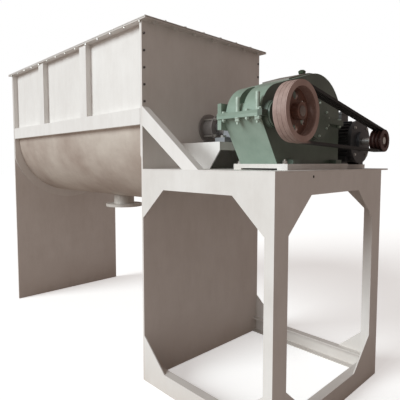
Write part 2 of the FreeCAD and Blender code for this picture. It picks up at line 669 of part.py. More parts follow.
def lower_housing():
    sump = plate_yz(side_profile(0, SHAFT_Z), BOX_X - BOX_HALF, BOX_X + BOX_HALF)
    feet = [box(BOX_X - 145, BOX_X + 145, y - 30, y + 30, BASE_Z, BASE_Z + 20) for y in (-200, 200)]
    body = fuse([sump, split_flange(SHAFT_Z - FLANGE_T, SHAFT_Z)] + feet
                + [below_split(b) for b in bosses() + [input_block()]])
    inside = plate_yz(side_profile(BOX_WALL, SHAFT_Z + 1), BOX_X - BOX_HALF + BOX_WALL,
                      BOX_X + BOX_HALF - BOX_WALL)
    return body.cut(inside).cut(bearing_bores()).cut(flange_bolt_holes())


def hood(inset, x0, x1):
    """Casing over the split: two round ends and the straight slope between them."""
    (y0, z0, r0), (y1, z1, r1) = HOOD_NOSE, HOOD_TOP
    r0, r1 = r0 - inset, r1 - inset
    lean = math.atan2(z1 - z0, y1 - y0) + math.asin((r1 - r0) / math.hypot(y1 - y0, z1 - z0))
    c, s = math.cos(lean), math.sin(lean)
    slope = [(y0, z0), (y0 - r0 * s, z0 + r0 * c), (y1 - r1 * s, z1 + r1 * c), (y1, z1)]
    whole = fuse([rod_x(r0, x0, x1, y0, z0), rod_x(r1, x0, x1, y1, z1), plate_yz(slope, x0, x1)])
    return whole.common(box(x0, x1, FLANGE_NEAR, BOX_FAR - inset, SHAFT_Z, SHAFT_Z + 400))


def recess(wall):
    return box(RECESS_X[0] - wall, RECESS_X[1] + wall, FLANGE_NEAR, RECESS_Y + wall, RECESS_Z - wall,
               RECESS_Z + 200)


def upper_cover():
    w = COVER_WALL
    lug = plate_yz([(225, 1590), (288, 1561), (288, 1520), (BOX_FAR, 1490), (225, 1490)],
                   BOX_X + 13, BOX_X + 31)
    body = fuse([hood(0, *HOOD_X).cut(recess(0)), lug, split_flange(SHAFT_Z, SHAFT_Z + FLANGE_T)]
                + [above_split(b) for b in bosses() + [input_block()]])
    inside = hood(w, HOOD_X[0] + w, HOOD_X[1] - w).cut(recess(w))
    body = body.cut(inside).cut(bearing_bores()).cut(rod_x(8, BOX_X, BOX_X + 40, 274, 1538))
    return body.cut(flange_bolt_holes())


# The row along the near edge, then the rows along both sides.
FLANGE_BOLTS = [(x, FLANGE_NEAR + 11) for x in (531.0, 667.0, 733.0)] + [
    (BOX_X + side * (FLANGE_HALF - 12), y) for side in (-1, 1) for y in (-132.0, 125.0, 250.0)]
FLANGE_BOLT_R = 6.0


def flange_bolt_holes():
    return fuse([rod_z(FLANGE_BOLT_R + 0.5, x, y, SHAFT_Z - 30, SHAFT_Z + 30) for x, y in FLANGE_BOLTS])


def flange_bolt(x, y):
    top, under = SHAFT_Z + FLANGE_T, SHAFT_Z - FLANGE_T
    return fuse([rod_z(FLANGE_BOLT_R, x, y, under - 14, top), hex_z(18, x, y, top, top + 8),
                 hex_z(18, x, y, under - 10, under)])


def bearing_cap(x0, name):
    y, _, cap, *_ = SHAFTS[name]
    return rod_x(cap, x0, x0 + CAP_T, y, SHAFT_Z)


def bearing_caps():
    """Through covers where the output and input shafts leave the box, blind covers elsewhere."""
    left, right = BOSS_X[0] - CAP_T, BOSS_X[1]
    caps = [bearing_cap(left, "lay"), bearing_cap(right, "lay"), bearing_cap(left, "input"),
            bearing_cap(right, "output")]
    for x0, name in ((left, "output"), (right, "input")):
        y, journal = SHAFTS[name][0], SHAFTS[name][4]
        caps.append(bearing_cap(x0, name).cut(rod_x(journal + 0.5, x0 - 1, x0 + CAP_T + 1, y, SHAFT_Z)))
    return caps


def inspection_plate():
    """Plate bolted on the casing's sloping top, bent to follow it."""
    x0, x1 = 545.0, 700.0
    return hood(-7, x0, x1).cut(hood(0, x0 - 1, x1 + 1)).common(box(x0, x1, -170, 50, 1500, 1700))


def base_rails():
    """Two flat rails under the reducer's feet, and a bar that ties their near ends."""
    y0, y1 = -305.0, 262.0
    return fuse([box(478, 525, y0, y1, STAND_Z, BASE_Z), box(735, 790, y0, y1, STAND_Z, BASE_Z),
                 box(525, 735, y0, y0 + 20, STAND_Z + 8, BASE_Z)])


def gear(teeth, module, x0, x1, y, phase):
    """Spur gear with straight-flanked teeth and working backlash."""
    pitch_r = teeth * module / 2
    half = 0.44 * math.pi / teeth
    outline = []
    for k in range(teeth):
        a = 2 * math.pi * k / teeth + math.radians(phase)
        for h, side in ((-1.1, -1), (0.8, -1), (0.8, 1), (-1.1, 1)):
            r = pitch_r + h * module
            b = a + side * (half - math.tan(math.radians(20)) * h * module / pitch_r)
            outline.append((y + r * math.cos(b), SHAFT_Z + r * math.sin(b)))
    return plate_yz(outline, x0, x1)


GEAR_SEAT_R = 50.0
LOW_PHASE, HIGH_PHASE = 180.0 / LOW_GEAR, 180.0 / HIGH_GEAR


def output_shaft():
    x0, x1 = LOW_GEAR_X
    return fuse([rod_x(JOURNAL_R, OUTPUT_SHAFT_X, BOSS_X[1] - 2, 0, SHAFT_Z),
                 rod_x(GEAR_SEAT_R, x0 - 40, x1, 0, SHAFT_Z)])


def output_gear():
    x0, x1 = LOW_GEAR_X
    blank = gear(LOW_GEAR, LOW_MODULE, x0, x1, 0, LOW_PHASE).cut(
        rod_x(GEAR_SEAT_R, x0 - 1, x1 + 1, 0, SHAFT_Z))
    web = (x1 - x0) / 3
    for a, b in ((x0 - 1, x0 + web), (x1 - web, x1 + 1)):
        blank = blank.cut(ring_x(155, 85, a, b, 0, SHAFT_Z))
    return blank


def lay_shaft():
    x0, x1 = LOW_GEAR_X
    journal = SHAFTS["lay"][4]
    return fuse([rod_x(journal, BOSS_X[0] + 2, BOSS_X[1] - 2, LAY_Y, SHAFT_Z),
                 gear(LOW_PINION, LOW_MODULE, x0 - 3, x1 + 3, LAY_Y, 0)])


def lay_gear():
    x0, x1 = HIGH_GEAR_X
    return gear(HIGH_GEAR, HIGH_MODULE, x0, x1, LAY_Y, HIGH_PHASE).cut(
        rod_x(SHAFTS["lay"][4], x0 - 1, x1 + 1, LAY_Y, SHAFT_Z))


def input_shaft():
    x0, x1 = HIGH_GEAR_X
    journal = SHAFTS["input"][4]
    return fuse([rod_x(journal, BOSS_X[0] + 2, PULLEY_X[1] - 3, INPUT_Y, SHAFT_Z),
                 gear(HIGH_PINION, HIGH_MODULE, x0 - 2, x1 + 2, INPUT_Y, 0)])


save("gearbox_rails", base_rails())
save("gearbox_lower_housing", lower_housing())
save("gearbox_cover", upper_cover())
save("inspection_plate", inspection_plate())
save("gearbox_bearing_caps", bearing_caps())
save("gearbox_bearings", [ring_x(seat, journal + RUN_FIT, x0, x1, y, SHAFT_Z)
                          for y, _, _, seat, journal in SHAFTS.values() for x0, x1 in BEARING_X])
save("gearbox_bolts", [flange_bolt(x, y) for x, y in FLANGE_BOLTS])
save("output_shaft", output_shaft())
save("output_gear", output_gear())
save("lay_shaft", lay_shaft())
save("lay_gear", lay_gear())
save("input_shaft", input_shaft())


# ---- belt drive -----------------------------------------------------------------------------------
GROOVE_DEPTH, GROOVE_HALF, GROOVE_FOOT = 15.0, 8.5, 3.9
BELT_TOP, BELT_FOOT = 1.0, -10.0         # from the pulley's outside radius
BELT_HALF, BELT_FOOT_HALF = 8.3, 4.9
GROOVE_X = [sum(PULLEY_X) / 2 + GROOVE_PITCH * (k - (GROOVES - 1) / 2) for k in range(GROOVES)]


def turned(points, y, z):
    """Solid of revolution about a line along X, from points given as x, radius."""
    face = polygon_face([V(x, y, z + r) for x, r in points])
    return face.revolve(V(0, y, z), V(1, 0, 0), 360)


def grooved_rim(r):
    """Points x, radius across the running face of a pulley of radius r."""
    points = [(PULLEY_X[0], r)]
    for x in GROOVE_X:
        points += [(x - GROOVE_HALF, r), (x - GROOVE_FOOT, r - GROOVE_DEPTH),
                   (x + GROOVE_FOOT, r - GROOVE_DEPTH), (x + GROOVE_HALF, r)]
    return points + [(PULLEY_X[1], r)]


def driven_pulley():
    """Rim, set-back web with round holes, and hub."""
    x0, x1 = PULLEY_X
    rim_in, hub, bore = PULLEY_R - 25, 36.0, SHAFTS["input"][4]
    section = [(x0, rim_in)] + grooved_rim(PULLEY_R) + [
        (x1, rim_in), (x0 + 24, rim_in), (x0 + 24, hub), (x1 - 5, hub), (x1 - 5, bore),
        (x0 + 4, bore), (x0 + 4, hub), (x0 + 14, hub), (x0 + 14, rim_in)]
    pulley = turned(section, INPUT_Y, SHAFT_Z)
    for k in range(6):
        a = math.radians(60 * k + 30)
        pulley = pulley.cut(rod_x(19, x0, x1, INPUT_Y + 69 * math.cos(a), SHAFT_Z + 69 * math.sin(a)))
    return pulley


MOTOR_SHAFT_R = 19.0


def motor_pulley():
    x0, x1 = PULLEY_X
    section = [(x0, MOTOR_SHAFT_R)] + grooved_rim(MOTOR_PULLEY_R) + [
        (x1, MOTOR_PULLEY_R - 22), (x1 - 10, MOTOR_PULLEY_R - 22), (x1 - 10, MOTOR_SHAFT_R)]
    return turned(section, MOTOR_Y, MOTOR_Z)


def belt(x):
    """Closed loop of trapezoid section round both pulleys, clear of their groove flanks."""
    mid = (BELT_TOP + BELT_FOOT) / 2
    r1, r2 = PULLEY_R + mid, MOTOR_PULLEY_R + mid
    c1, c2 = V(x, INPUT_Y, SHAFT_Z), V(x, MOTOR_Y, MOTOR_Z)
    u = (c2 - c1).normalize()
    across = V(0, -u.z, u.y)
    lean = (r1 - r2) / (c2 - c1).Length
    n1 = u * lean + across * math.sqrt(1 - lean ** 2)
    n2 = u * lean - across * math.sqrt(1 - lean ** 2)
    path = Part.Wire([
        Part.makeLine(c1 + n1 * r1, c2 + n1 * r2),
        Part.Arc(c2 + n1 * r2, c2 + u * r2, c2 + n2 * r2).toShape(),
        Part.makeLine(c2 + n2 * r2, c1 + n2 * r1),
        Part.Arc(c1 + n2 * r1, c1 - u * r1, c1 + n1 * r1).toShape()])
    h = (BELT_TOP - BELT_FOOT) / 2
    foot, top = c1 + n1 * (r1 - h), c1 + n1 * (r1 + h)
    dx, dxf = V(BELT_HALF, 0, 0), V(BELT_FOOT_HALF, 0, 0)
    section = Part.makePolygon([foot - dxf, foot + dxf, top + dx, top - dx, foot - dxf])
    return path.makePipeShell([section], True, False)


save("driven_pulley", driven_pulley())
save("motor_pulley", motor_pulley())
save("v_belts", [belt(x) for x in GROOVE_X])


# ---- motor ----------------------------------------------------------------------------------------
FRAME_X = (500.0, 738.0)
FOOT_X = (526.0, 689.0)
FOOT_Y = 108.0
FRAME_BORE = 102.0
ROTOR_R, STATOR_BORE = 64.0, 64.8
CORE_X = (530.0, 670.0)
FAN_X = (450.0, 476.0)


def cooling_fin(angle):
    """Thin fin along the frame, angle measured from the top."""
    fin = box(FRAME_X[0] + 8, FRAME_X[1] - 8, MOTOR_Y - 2, MOTOR_Y + 2, MOTOR_Z + MOTOR_R - 4,
              MOTOR_Z + MOTOR_R + FIN_H)
    fin.rotate(V(0, MOTOR_Y, MOTOR_Z), V(1, 0, 0), angle)
    return fin


def motor_frame():
    """Finned frame on two feet, with the stator core pressed into it as a second solid."""
    fins = [cooling_fin(a) for a in range(-120, 121, 10) if abs(a) > 20]
    feet = [box(FOOT_X[0] - 24, FOOT_X[1] + 24, MOTOR_Y + s * FOOT_Y - 24, MOTOR_Y + s * FOOT_Y + 24,
                MOTOR_FEET_Z, MOTOR_FEET_Z + 16) for s in (-1, 1)]
    legs = [box(FOOT_X[0] - 24, FOOT_X[1] + 24, MOTOR_Y + min(s * 96, s * 72), MOTOR_Y + max(s * 96, s * 72),
                MOTOR_FEET_Z, MOTOR_Z - 82) for s in (-1, 1)]
    seat = box(558, 658, MOTOR_Y - 45, MOTOR_Y + 45, MOTOR_Z + 90, MOTOR_Z + MOTOR_R + 2)
    bore = rod_x(FRAME_BORE, FRAME_X[0] - 1, FRAME_X[1] + 1, MOTOR_Y, MOTOR_Z)
    frame = fuse([rod_x(MOTOR_R, *FRAME_X, MOTOR_Y, MOTOR_Z), seat] + fins + feet + legs).cut(bore)
    return [frame, ring_x(FRAME_BORE, STATOR_BORE, *CORE_X, MOTOR_Y, MOTOR_Z)]


def end_shields():
    y, z = MOTOR_Y, MOTOR_Z
    face = MOTOR_X[1] - 6
    drive = fuse([rod_x(MOTOR_R + 6, FRAME_X[1], face, y, z), rod_x(56, face, face + 16, y, z)])
    rear = rod_x(MOTOR_R + 6, FRAME_X[0] - 16, FRAME_X[0], y, z)
    bore = rod_x(MOTOR_SHAFT_R + RUN_FIT, FRAME_X[0] - 30, MOTOR_X[1] + 20, y, z)
    return [drive.cut(bore), rear.cut(bore)]


def fan_cowl():
    """Thin drum over the fan, its end wall pierced by air slots."""
    x0, x1 = MOTOR_X[0], FRAME_X[0] - 16
    cowl = rod_x(MOTOR_R + 6, x0, x1, MOTOR_Y, MOTOR_Z).cut(
        rod_x(MOTOR_R + 3, x0 + 3, x1 + 1, MOTOR_Y, MOTOR_Z))
    for k in range(6):
        slot = box(x0 - 1, x0 + 4, MOTOR_Y - 15, MOTOR_Y + 15, MOTOR_Z + 35, MOTOR_Z + 95)
        slot.rotate(V(0, MOTOR_Y, MOTOR_Z), V(1, 0, 0), 60 * k)
        cowl = cowl.cut(slot)
    return cowl


def terminal_box():
    """Box with an overlapping lid, and an empty cable gland on its far side."""
    low = MOTOR_Z + MOTOR_R + 2
    return fuse([box(560, 656, MOTOR_Y - 42, MOTOR_Y + 42, low, low + 42),
                 box(556, 660, MOTOR_Y - 46, MOTOR_Y + 46, low + 42, low + 54),
                 Part.makeCylinder(13, 20, V(608, MOTOR_Y + 40, low + 20), V(0, 1, 0))])


def motor_rotor():
    """Shaft, rotor core and cooling fan, three solids that turn together."""
    y, z = MOTOR_Y, MOTOR_Z
    r = MOTOR_SHAFT_R
    fan = [rod_x(34, *FAN_X, y, z), rod_x(95, FAN_X[0], FAN_X[0] + 4, y, z)]
    for k in range(6):
        blade = box(FAN_X[0], FAN_X[1], y - 2, y + 2, z + 20, z + 95)
        blade.rotate(V(0, y, z), V(1, 0, 0), 60 * k)
        fan.append(blade)
    cut = rod_x(r, FAN_X[0] - 1, FAN_X[1] + 1, y, z)
    return [rod_x(r, FAN_X[0] - 5, PULLEY_X[1] - 4, y, z), ring_x(ROTOR_R, r, *CORE_X, y, z),
            fuse(fan).cut(cut)]


save("motor_slide_rails", [box(x - 26, x + 26, 330, 640, STAND_Z, MOTOR_FEET_Z) for x in FOOT_X])
save("motor_frame", motor_frame())
save("motor_end_shields", end_shields())
save("fan_cowl", fan_cowl())
save("terminal_box", terminal_box())
save("motor_rotor", motor_rotor())
print("outline", OUTLINE)
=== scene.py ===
import math
import bmesh
import bpy
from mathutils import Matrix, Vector


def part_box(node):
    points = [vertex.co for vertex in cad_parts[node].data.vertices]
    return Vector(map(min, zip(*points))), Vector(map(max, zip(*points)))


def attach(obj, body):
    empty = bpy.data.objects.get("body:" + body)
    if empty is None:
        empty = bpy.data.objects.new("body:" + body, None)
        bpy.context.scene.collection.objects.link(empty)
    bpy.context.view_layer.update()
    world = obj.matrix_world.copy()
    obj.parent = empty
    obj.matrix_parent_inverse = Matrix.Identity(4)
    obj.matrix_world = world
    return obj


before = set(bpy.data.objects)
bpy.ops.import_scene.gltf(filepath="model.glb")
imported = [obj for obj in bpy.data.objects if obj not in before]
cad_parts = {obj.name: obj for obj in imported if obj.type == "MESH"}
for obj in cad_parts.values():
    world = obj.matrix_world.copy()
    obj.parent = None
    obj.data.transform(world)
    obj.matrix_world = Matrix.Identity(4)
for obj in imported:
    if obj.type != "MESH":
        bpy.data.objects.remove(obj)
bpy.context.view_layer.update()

scene = bpy.context.scene


# ---- Workshop floor, light and camera ------------------------------------------------------------
# One broad lamp stands in front, as a row of windows would, so the machine's front is bright and
# its drive end lies in warm half shade.  Floor and surround look whiter than the light they give.
def shader_node(tree, kind, **values):
    """New node with its plain input values set by name."""
    node = tree.nodes.new(kind)
    for key, value in values.items():
        node.inputs[key.replace("_", " ")].default_value = value
    return node


def seen_and_lit(tree, seen, lit):
    """Mix that shows one shader to the camera and lights the machine with the other."""
    mix = tree.nodes.new("ShaderNodeMixShader")
    path = tree.nodes.new("ShaderNodeLightPath")
    tree.links.new(path.outputs["Is Camera Ray"], mix.inputs["Fac"])
    tree.links.new(lit, mix.inputs[1])
    tree.links.new(seen, mix.inputs[2])
    return mix.outputs[0]


def studio_floor():
    mesh = bpy.data.meshes.new("studio_floor")
    bm = bmesh.new()
    bmesh.ops.create_grid(bm, x_segments=1, y_segments=1, size=40)
    bm.to_mesh(mesh)
    bm.free()
    floor = bpy.data.objects.new("studio_floor", mesh)
    scene.collection.objects.link(floor)
    mat = bpy.data.materials.new("pale_floor")
    mat.use_nodes = True
    tree = mat.node_tree
    tree.nodes.clear()
    out = tree.nodes.new("ShaderNodeOutputMaterial")
    matt = shader_node(tree, "ShaderNodeBsdfDiffuse", Color=(0.50, 0.43, 0.39, 1))
    pale = shader_node(tree, "ShaderNodeBsdfDiffuse", Color=(0.95, 0.95, 0.94, 1))
    glow = shader_node(tree, "ShaderNodeEmission", Color=(1, 1, 1, 1), Strength=0.42)
    both = tree.nodes.new("ShaderNodeAddShader")
    tree.links.new(pale.outputs[0], both.inputs[0])
    tree.links.new(glow.outputs[0], both.inputs[1])
    tree.links.new(seen_and_lit(tree, both.outputs[0], matt.outputs[0]), out.inputs["Surface"])
    mesh.materials.append(mat)


def studio_world(colour, strength):
    world = bpy.data.worlds.new("surround")
    scene.world = world
    world.use_nodes = True
    tree = world.node_tree
    tree.nodes.clear()
    out = tree.nodes.new("ShaderNodeOutputWorld")
    lamp = shader_node(tree, "ShaderNodeBackground", Color=(*colour, 1), Strength=strength)
    back = shader_node(tree, "ShaderNodeBackground", Color=(1, 1, 1, 1), Strength=1.0)
    tree.links.new(seen_and_lit(tree, back.outputs[0], lamp.outputs[0]), out.inputs["Surface"])


def soft_sun(name, towards, strength, angle, colour):
    light = bpy.data.lights.new(name, "SUN")
    light.energy = strength
    light.angle = math.radians(angle)
    light.color = colour
    lamp = bpy.data.objects.new(name, light)
    lamp.rotation_euler = Vector(towards).to_track_quat("-Z", "Y").to_euler()
    scene.collection.objects.link(lamp)


def view_camera():
    data = bpy.data.cameras.new("view_camera")
    data.sensor_width = 36
    data.lens = 36.22
    data.shift_x = 0.0027
    data.shift_y = -0.0235
    camera = bpy.data.objects.new("view_camera", data)
    camera.location = (2.4365, -1.869, 1.230)
    camera.rotation_euler = (math.radians(90 - 4.01), 0, math.radians(46.12))
    scene.collection.objects.link(camera)
    scene.camera = camera


studio_floor()
studio_world((1.0, 0.83, 0.76), 0.27)
soft_sun("window_light", (0.22, 0.88, -0.46), 3.0, 34, (0.90, 0.97, 1.0))
view_camera()
scene.view_settings.view_transform = "Standard"


# ---- End plates ----------------------------------------------------------------------------------
# Two full-height plates of 12 mm steel that carry the trough and stand on the floor, in sprayed
# off-white enamel: cloudy and faintly streaked, with a few stains and more dirt near the floor.
def tone_ramp(tree, source, low, high, first, last):
    ramp = tree.nodes.new("ShaderNodeValToRGB")
    stops = ramp.color_ramp.elements
    stops[0].position, stops[1].position = low, high
    stops[0].color, stops[1].color = (*first, 1), (*last, 1)
    tree.links.new(source, ramp.inputs["Fac"])
    return ramp.outputs["Color"]


def blend_colour(tree, factor, first, second, kind="MIX"):
    """Colour mix of two sockets or colours, steered by a factor socket or number."""
    mix = tree.nodes.new("ShaderNodeMix")
    mix.data_type = "RGBA"
    mix.blend_type = kind
    for socket, value in ((mix.inputs[0], factor), (mix.inputs[6], first), (mix.inputs[7], second)):
        if isinstance(value, bpy.types.NodeSocket):
            tree.links.new(value, socket)
        else:
            socket.default_value = value
    return mix.outputs[2]


def noise(tree, vector, scale, detail=6.0, rough=0.6):
    node = shader_node(tree, "ShaderNodeTexNoise", Scale=scale, Detail=detail, Roughness=rough)
    tree.links.new(vector, node.inputs["Vector"])
    return node.outputs["Fac"]


def stretched(tree, vector, scale):
    node = tree.nodes.new("ShaderNodeMapping")
    node.inputs["Scale"].default_value = scale
    tree.links.new(vector, node.inputs["Vector"])
    return node.outputs[0]


def ramp_between(tree, value, start, full, first, last):
    """Number that goes from first to last while the value goes from start to full."""
    node = tree.nodes.new("ShaderNodeMapRange")
    for key, number in (("From Min", start), ("From Max", full), ("To Min", first), ("To Max", last)):
        node.inputs[key].default_value = number
    tree.links.new(value, node.inputs["Value"])
    return node.outputs[0]


def coordinate(tree, vector, axis):
    split = tree.nodes.new("ShaderNodeSeparateXYZ")
    tree.links.new(vector, split.inputs[0])
    return split.outputs[axis]


def worn_finish(name, light, dark, rough=0.5, metal=0.0, patch=1.8, grain=90.0, bump=0.12,
                stretch=(1, 1, 0.3), stain=(0.30, 0.20, 0.13), stains=0.25, low_dirt=0.0, dirt_top=0.5):
    """Base tone with clouds, stretched streaks, scattered stains, and dirt towards the floor."""
    mat = bpy.data.materials.new(name)
    mat.use_nodes = True
    tree = mat.node_tree
    link = tree.links.new
    bsdf = tree.nodes["Principled BSDF"]
    bsdf.inputs["Metallic"].default_value = metal
    place = tree.nodes.new("ShaderNodeTexCoord").outputs["Object"]
    clouds = noise(tree, place, patch)
    streaks = noise(tree, stretched(tree, place, stretch), patch * 9, 5.0, 0.7)
    fine = noise(tree, place, grain, 4.0, 0.7)
    base = tone_ramp(tree, clouds, 0.33, 0.66, dark, light)
    shade = tone_ramp(tree, streaks, 0.36, 0.6, (0.90, 0.89, 0.88), (1, 1, 1))
    base = blend_colour(tree, 0.45, base, shade, "MULTIPLY")
    spots = tone_ramp(tree, noise(tree, place, patch * 5, 9.0, 0.75), 0.66, 0.74, (0, 0, 0), (1, 1, 1))
    amount = blend_colour(tree, stains, (0, 0, 0, 1), spots)
    base = blend_colour(tree, amount, base, (*stain, 1))
    if low_dirt:
        height = ramp_between(tree, coordinate(tree, place, "Z"), 0.0, dirt_top, low_dirt, 0.0)
        broken = blend_colour(tree, 1.0, height, streaks, "MULTIPLY")
        base = blend_colour(tree, broken, base, (*stain, 1))
    link(base, bsdf.inputs["Base Color"])
    link(ramp_between(tree, fine, 0.0, 1.0, max(rough - 0.12, 0.05), min(rough + 0.14, 1.0)),
         bsdf.inputs["Roughness"])
    relief = shader_node(tree, "ShaderNodeBump", Strength=bump, Distance=0.002)
    link(fine, relief.inputs["Height"])
    link(relief.outputs[0], bsdf.inputs["Normal"])
    return mat


def dress(mat, *names):
    """Puts one finish on pieces that the construction brought."""
    for name in names:
        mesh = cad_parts[name].data
        mesh.materials.clear()
        mesh.materials.append(mat)


plate_paint = worn_finish("end_plate_paint", (0.80, 0.77, 0.74), (0.72, 0.68, 0.645), 0.42, stains=0.12,
                          low_dirt=0.5, dirt_top=0.35)
dress(plate_paint, "drive_end_plate", "tail_end_plate")


# ---- Trough bottom -------------------------------------------------------------------------------
# Rolled plate, left unpainted: dull ground steel with clouds of brown, and streaks that run along
# the machine.  Welded to the walls above and to the flanges at both ends.
dress(worn_finish("rolled_plate", (0.76, 0.69, 0.61), (0.50, 0.41, 0.35), 0.34, 0.3, 2.4, 120.0, 0.18,
                  (0.25, 1, 1), (0.22, 0.14, 0.10), 0.5), "trough_bottom")


# ---- Walls, bands and ribs -----------------------------------------------------------------------
# 6 mm sheet with folded bands and ribs, stitch welded and sprayed.  The welds are short raised
# beads along both edges of each rib, where it meets the wall.  The top bead of each row is set too
# high: it goes on through the rim and ends 8 mm above the covers.
def joined_piece(name, bm, mat, body):
    """Makes one finished piece of a mesh under construction and lets it ride on a body."""
    bmesh.ops.recalc_face_normals(bm, faces=bm.faces)
    mesh = bpy.data.meshes.new(name)
    bm.to_mesh(mesh)
    bm.free()
    mesh.materials.append(mat)
    piece = bpy.data.objects.new(name, mesh)
    scene.collection.objects.link(piece)
    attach(piece, body)
    return piece


def bar(bm, start, end, radius, sides=16, tip=None):
    """Round or many-sided bar between two points, tapered where tip is given."""
    start, end = Vector(start), Vector(end)
    axis = end - start
    made = bmesh.ops.create_cone(bm, cap_ends=True, segments=sides, radius1=radius,
                                 radius2=radius if tip is None else tip, depth=axis.length)
    turn = axis.to_track_quat("Z", "Y").to_matrix().to_4x4()
    turn.translation = (start + end) / 2
    bmesh.ops.transform(bm, matrix=turn, verts=made["verts"])
    return made["verts"]


dress(worn_finish("wall_paint", (0.85, 0.83, 0.80), (0.78, 0.755, 0.725), 0.4, stains=0.12),
      "side_walls", "side_bands", "wall_ribs", "trough_end_flanges")
bead_paint = worn_finish("bead_paint", (0.78, 0.75, 0.71), (0.62, 0.57, 0.52), 0.45, grain=240, bump=0.5)
low_rib, high_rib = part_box("wall_ribs")
half_rib = 0.042
wall_step = 0.0375        # from a rib's outer face back to just off the wall
first_bead, bead_step, bead_length, bead_radius = 0.09, 0.17, 0.05, 0.003
beads = bmesh.new()
for y in (low_rib[1] + wall_step, high_rib[1] - wall_step):
    for x in (low_rib[0] + half_rib, high_rib[0] - half_rib):
        for side in (-1, 1):
            for k in range(3):
                foot = Vector((x + side * (half_rib + 0.0005), y, low_rib[2] + first_bead + k * bead_step))
                bar(beads, foot, foot + Vector((0, 0, bead_length)), bead_radius, 8)
joined_piece("rib_weld_beads", beads, bead_paint, "machine_frame")


# ---- Rim, covers and lid -------------------------------------------------------------------------
# A flat rim with a rubber strip on it, a short cover bolted down at the drive end, and a long lid
# on three hinges with two bow handles.  Nuts show under the rim, bolt heads along the end plates.
dress(worn_finish("rim_paint", (0.74, 0.71, 0.68), (0.62, 0.58, 0.54), 0.42, stains=0.15), "rim_flange")
dress(worn_finish("cover_paint", (0.80, 0.78, 0.75), (0.70, 0.67, 0.63), 0.38, stains=0.1),
      "fixed_cover", "lid_panel")
dress(worn_finish("handle_paint", (0.66, 0.64, 0.61), (0.45, 0.43, 0.41), 0.35, 0.2, 6.0, 200.0),
      "lid_handles", "hinge_fixed_leaves", "hinge_lid_leaves")
dress(worn_finish("strip_rubber", (0.055, 0.053, 0.05), (0.03, 0.03, 0.03), 0.75, patch=8.0),
      "rim_gaskets", "seal_packings")
zinc = worn_finish("zinc_plate", (0.74, 0.74, 0.72), (0.52, 0.50, 0.46), 0.32, 0.85, 12.0, 300.0, 0.1,
                   stain=(0.32, 0.2, 0.12), stains=0.4)
dress(zinc, "hinge_pins", "gland_studs", "coupling_pins")


def hexagon_bolt(bm, foot, axis, across=0.017, height=0.008, washer=0.0025, stub=0.0):
    """Washer and chamfered hexagon on a face, with a stub of thread beyond it where asked."""
    foot, axis = Vector(foot), Vector(axis).normalized()
    radius = across / math.sqrt(3)
    bar(bm, foot, foot + axis * washer, radius * 1.12, 20)
    head = foot + axis * washer
    bar(bm, head, head + axis * height * 0.8, radius, 6)
    bar(bm, head + axis * height * 0.8, head + axis * height, radius, 6, radius * 0.86)
    if stub:
        bar(bm, head + axis * height, head + axis * (height + stub), across * 0.29, 12)


up, down = (0, 0, 1), (0, 0, -1)
# Usual hexagons: size across the flats, height, washer, and stub where there is one.
m6_head = (0.010, 0.006, 0.0015)
m6_nut = (0.010, 0.007, 0.0015)
m10_nut = (0.017, 0.009, 0.002, 0.006)


def spaced(first, last, count):
    """Places of a row of fasteners, both ends included."""
    return [first + k * (last - first) / (count - 1) for k in range(count)]


cover_low, cover_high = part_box("fixed_cover")
cover_plate, rim_plate = 0.004, 0.006
cover_face = cover_low[2] + cover_plate
edge = 0.022              # from the cover's edge to its bolts
bolts = bmesh.new()
for x in spaced(cover_low[0] + 0.05, cover_high[0] - 0.03, 5):
    for y in (cover_low[1] + edge, cover_high[1] - edge):
        hexagon_bolt(bolts, (x, y, cover_face), up)
for y in spaced(cover_low[1] + 0.15, cover_high[1] - 0.15, 6):
    hexagon_bolt(bolts, (cover_high[0] - edge, y, cover_face), up)
joined_piece("cover_bolts", bolts, zinc, "machine_frame")
rim_low, rim_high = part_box("rim_flange")
rim_under = rim_high[2] - rim_plate
nuts = bmesh.new()
for x in spaced(rim_low[0] + 0.06, rim_high[0] - 0.06, 14):
    hexagon_bolt(nuts, (x, rim_low[1] + 0.0075, rim_under), down, *m6_nut)
for y in spaced(rim_low[1] + 0.07, rim_high[1] - 0.07, 7):
    for x in (rim_low[0] + 0.018, rim_high[0] - 0.018):
        hexagon_bolt(nuts, (x, y, rim_under), down, *m10_nut)
joined_piece("rim_nuts", nuts, zinc, "machine_frame")
dark_bolt = worn_finish("oiled_bolt", (0.14, 0.12, 0.11), (0.07, 0.06, 0.055), 0.4, 0.6, 20.0, 240.0)
lowest_edge_bolt, highest_edge_bolt = 1.56, 1.92
edge_bolts = bmesh.new()
for node, face in (("drive_end_plate", 1), ("tail_end_plate", -1)):
    plate_low, plate_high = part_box(node)
    x = plate_high[0] if face > 0 else plate_low[0]
    for y in (plate_low[1] + 0.014, plate_high[1] - 0.014):
        for z in spaced(lowest_edge_bolt, highest_edge_bolt, 5):
            hexagon_bolt(edge_bolts, (x, y, z), (face, 0, 0), *m6_head)
joined_piece("plate_edge_bolts", edge_bolts, dark_bolt, "machine_frame")


# ---- Outlet --------------------------------------------------------------------------------------
# Short pipe welded under the middle of the trough with a slip-on flange, in a thin grey-brown
# paint that is much stained.
dress(worn_finish("outlet_paint", (0.66, 0.63, 0.59), (0.46, 0.42, 0.38), 0.42, 0.15, 5.0, 160.0,
                  stains=0.4), "outlet_spout", "outlet_flange")


